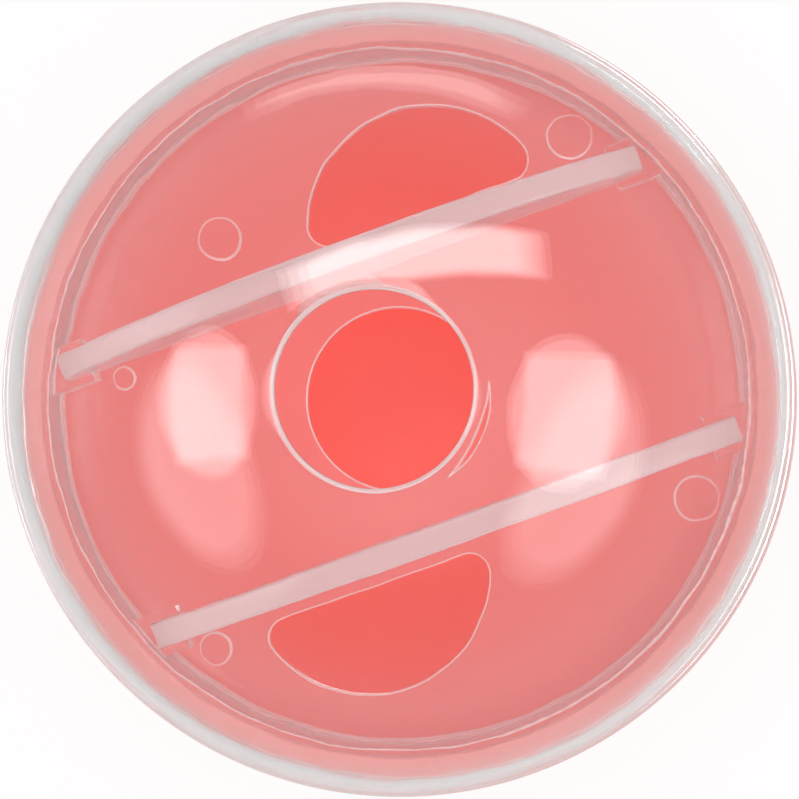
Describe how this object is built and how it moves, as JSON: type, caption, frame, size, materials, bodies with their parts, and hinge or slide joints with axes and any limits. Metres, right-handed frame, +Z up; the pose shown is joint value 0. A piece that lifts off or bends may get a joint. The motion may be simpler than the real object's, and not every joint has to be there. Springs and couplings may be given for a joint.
{
  "type": "treat dispensing ball",
  "caption": "Screw-together plastic ball with a clear upper half, round treat hole, clear divider tray with arched walls, and a coral lower bowl that holds treats",
  "frame": {"origin": "the lowest point of the bowl, where the closed ball touches the floor with the treat hole straight up", "axes": "+Z up through the treat hole and along the screw axis, +X along the two divider walls, +Y from the front wall to the back wall"},
  "size_m": [0.1016, 0.1016, 0.1003],
  "materials": {
    "coral": "glossy moulded",
    "clear_shell": "clear polished",
    "clear_divider": "clear moulded",
    "clear_wall": "clear, faintly frosted"
  },
  "bodies": {
    "bowl": {"bowl_shell": "coral"},
    "divider": {"divider_disc": "clear_divider", "baffle_plate_front": "clear_wall", "baffle_plate_back": "clear_wall"},
    "dome": {"dome_shell": "clear_shell"}
  },
  "joints": [
    {"name": "unscrew_turn", "type": "hinge", "parent": "bowl", "child": "divider", "pos_m": [0, 0, 0.0588], "axis": [0, 0, 1], "range_deg": [0, 360]},
    {"name": "unscrew_lift", "type": "slide", "parent": "divider", "child": "dome", "axis": [0, 0, 1], "range_m": [0, 0.01201]}
  ],
  "couplings": [
    {"joint": "unscrew_lift", "follows": "unscrew_turn", "m_per_rad": 0.0019099}
  ]
}
